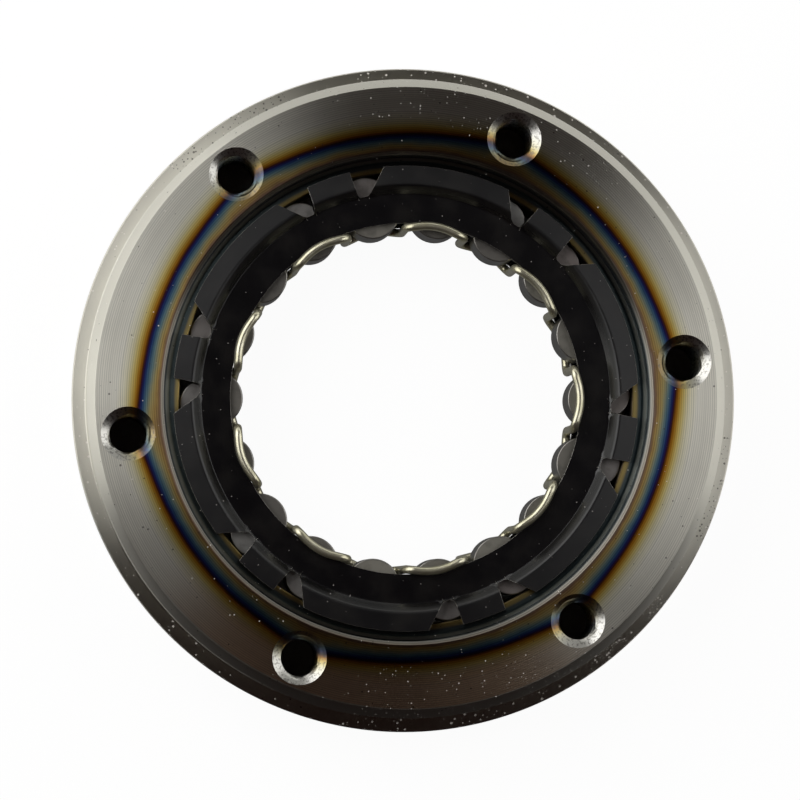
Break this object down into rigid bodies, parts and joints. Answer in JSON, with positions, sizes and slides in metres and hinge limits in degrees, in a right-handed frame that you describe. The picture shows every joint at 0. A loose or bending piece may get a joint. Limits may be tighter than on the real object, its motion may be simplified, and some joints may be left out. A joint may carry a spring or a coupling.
{
  "type": "sprag clutch",
  "caption": "Starter one-way clutch: stepped outer ring with tapped bolt holes, stamped cage with tabs, rocking sprags and a meander wire spring.",
  "frame": {"origin": "centre of the outer ring's back face, on the clutch axis", "axes": "+Z along the clutch axis, out of the bolting face; +X through the middle of sprag_01"},
  "size_m": [0.09, 0.09, 0.014],
  "materials": {
    "hardened_steel": "fine turned, with a heat tint round the bore",
    "black_oxide_steel": "satin black oxide",
    "spring_wire": "bright drawn wire",
    "sprag_steel": "tumbled"
  },
  "bodies": {
    "ring": {"outer_ring": "hardened_steel"},
    "cage": {"sprag_cage": "black_oxide_steel", "meander_spring": "spring_wire"},
    "sprag_01": {"sprag_01": "sprag_steel"},
    "sprag_02": {"sprag_02": "sprag_steel"},
    "sprag_03": {"sprag_03": "sprag_steel"},
    "sprag_04": {"sprag_04": "sprag_steel"},
    "sprag_05": {"sprag_05": "sprag_steel"},
    "sprag_06": {"sprag_06": "sprag_steel"},
    "sprag_07": {"sprag_07": "sprag_steel"},
    "sprag_08": {"sprag_08": "sprag_steel"},
    "sprag_09": {"sprag_09": "sprag_steel"},
    "sprag_10": {"sprag_10": "sprag_steel"},
    "sprag_11": {"sprag_11": "sprag_steel"},
    "sprag_12": {"sprag_12": "sprag_steel"},
    "sprag_13": {"sprag_13": "sprag_steel"},
    "sprag_14": {"sprag_14": "sprag_steel"},
    "sprag_15": {"sprag_15": "sprag_steel"},
    "sprag_16": {"sprag_16": "sprag_steel"},
    "sprag_17": {"sprag_17": "sprag_steel"},
    "sprag_18": {"sprag_18": "sprag_steel"}
  },
  "joints": [
    {"name": "cage_spin", "type": "hinge", "parent": "ring", "child": "cage", "pos_m": [0, 0, 0.007], "axis": [0, 0, 1], "continuous": true},
    {"name": "sprag_01_rock", "type": "hinge", "parent": "cage", "child": "sprag_01", "pos_m": [0.02705, 0.0008, 0.00625], "axis": [0, 0, 1], "range_deg": [0, 17]},
    {"name": "sprag_02_rock", "type": "hinge", "parent": "cage", "child": "sprag_02", "pos_m": [0.02515, 0.01, 0.00625], "axis": [0, 0, 1], "range_deg": [0, 17]},
    {"name": "sprag_03_rock", "type": "hinge", "parent": "cage", "child": "sprag_03", "pos_m": [0.02021, 0.018, 0.00625], "axis": [0, 0, 1], "range_deg": [0, 17]},
    {"name": "sprag_04_rock", "type": "hinge", "parent": "cage", "child": "sprag_04", "pos_m": [0.01283, 0.02383, 0.00625], "axis": [0, 0, 1], "range_deg": [0, 17]},
    {"name": "sprag_05_rock", "type": "hinge", "parent": "cage", "child": "sprag_05", "pos_m": [0.00391, 0.02678, 0.00625], "axis": [0, 0, 1], "range_deg": [0, 17]},
    {"name": "sprag_06_rock", "type": "hinge", "parent": "cage", "child": "sprag_06", "pos_m": [-0.00549, 0.0265, 0.00625], "axis": [0, 0, 1], "range_deg": [0, 17]},
    {"name": "sprag_07_rock", "type": "hinge", "parent": "cage", "child": "sprag_07", "pos_m": [-0.01422, 0.02303, 0.00625], "axis": [0, 0, 1], "range_deg": [0, 17]},
    {"name": "sprag_08_rock", "type": "hinge", "parent": "cage", "child": "sprag_08", "pos_m": [-0.02124, 0.01678, 0.00625], "axis": [0, 0, 1], "range_deg": [0, 17]},
    {"name": "sprag_09_rock", "type": "hinge", "parent": "cage", "child": "sprag_09", "pos_m": [-0.0257, 0.0085, 0.00625], "axis": [0, 0, 1], "range_deg": [0, 17]},
    {"name": "sprag_10_rock", "type": "hinge", "parent": "cage", "child": "sprag_10", "pos_m": [-0.02705, -0.0008, 0.00625], "axis": [0, 0, 1], "range_deg": [0, 17]},
    {"name": "sprag_11_rock", "type": "hinge", "parent": "cage", "child": "sprag_11", "pos_m": [-0.02515, -0.01, 0.00625], "axis": [0, 0, 1], "range_deg": [0, 17]},
    {"name": "sprag_12_rock", "type": "hinge", "parent": "cage", "child": "sprag_12", "pos_m": [-0.02021, -0.018, 0.00625], "axis": [0, 0, 1], "range_deg": [0, 17]},
    {"name": "sprag_13_rock", "type": "hinge", "parent": "cage", "child": "sprag_13", "pos_m": [-0.01283, -0.02383, 0.00625], "axis": [0, 0, 1], "range_deg": [0, 17]},
    {"name": "sprag_14_rock", "type": "hinge", "parent": "cage", "child": "sprag_14", "pos_m": [-0.00391, -0.02678, 0.00625], "axis": [0, 0, 1], "range_deg": [0, 17]},
    {"name": "sprag_15_rock", "type": "hinge", "parent": "cage", "child": "sprag_15", "pos_m": [0.00549, -0.0265, 0.00625], "axis": [0, 0, 1], "range_deg": [0, 17]},
    {"name": "sprag_16_rock", "type": "hinge", "parent": "cage", "child": "sprag_16", "pos_m": [0.01422, -0.02303, 0.00625], "axis": [0, 0, 1], "range_deg": [0, 17]},
    {"name": "sprag_17_rock", "type": "hinge", "parent": "cage", "child": "sprag_17", "pos_m": [0.02124, -0.01678, 0.00625], "axis": [0, 0, 1], "range_deg": [0, 17]},
    {"name": "sprag_18_rock", "type": "hinge", "parent": "cage", "child": "sprag_18", "pos_m": [0.0257, -0.0085, 0.00625], "axis": [0, 0, 1], "range_deg": [0, 17]}
  ],
  "couplings": [
    {"joint": "sprag_02_rock", "follows": "sprag_01_rock", "ratio": 1},
    {"joint": "sprag_03_rock", "follows": "sprag_01_rock", "ratio": 1},
    {"joint": "sprag_04_rock", "follows": "sprag_01_rock", "ratio": 1},
    {"joint": "sprag_05_rock", "follows": "sprag_01_rock", "ratio": 1},
    {"joint": "sprag_06_rock", "follows": "sprag_01_rock", "ratio": 1},
    {"joint": "sprag_07_rock", "follows": "sprag_01_rock", "ratio": 1},
    {"joint": "sprag_08_rock", "follows": "sprag_01_rock", "ratio": 1},
    {"joint": "sprag_09_rock", "follows": "sprag_01_rock", "ratio": 1},
    {"joint": "sprag_10_rock", "follows": "sprag_01_rock", "ratio": 1},
    {"joint": "sprag_11_rock", "follows": "sprag_01_rock", "ratio": 1},
    {"joint": "sprag_12_rock", "follows": "sprag_01_rock", "ratio": 1},
    {"joint": "sprag_13_rock", "follows": "sprag_01_rock", "ratio": 1},
    {"joint": "sprag_14_rock", "follows": "sprag_01_rock", "ratio": 1},
    {"joint": "sprag_15_rock", "follows": "sprag_01_rock", "ratio": 1},
    {"joint": "sprag_16_rock", "follows": "sprag_01_rock", "ratio": 1},
    {"joint": "sprag_17_rock", "follows": "sprag_01_rock", "ratio": 1},
    {"joint": "sprag_18_rock", "follows": "sprag_01_rock", "ratio": 1}
  ]
}
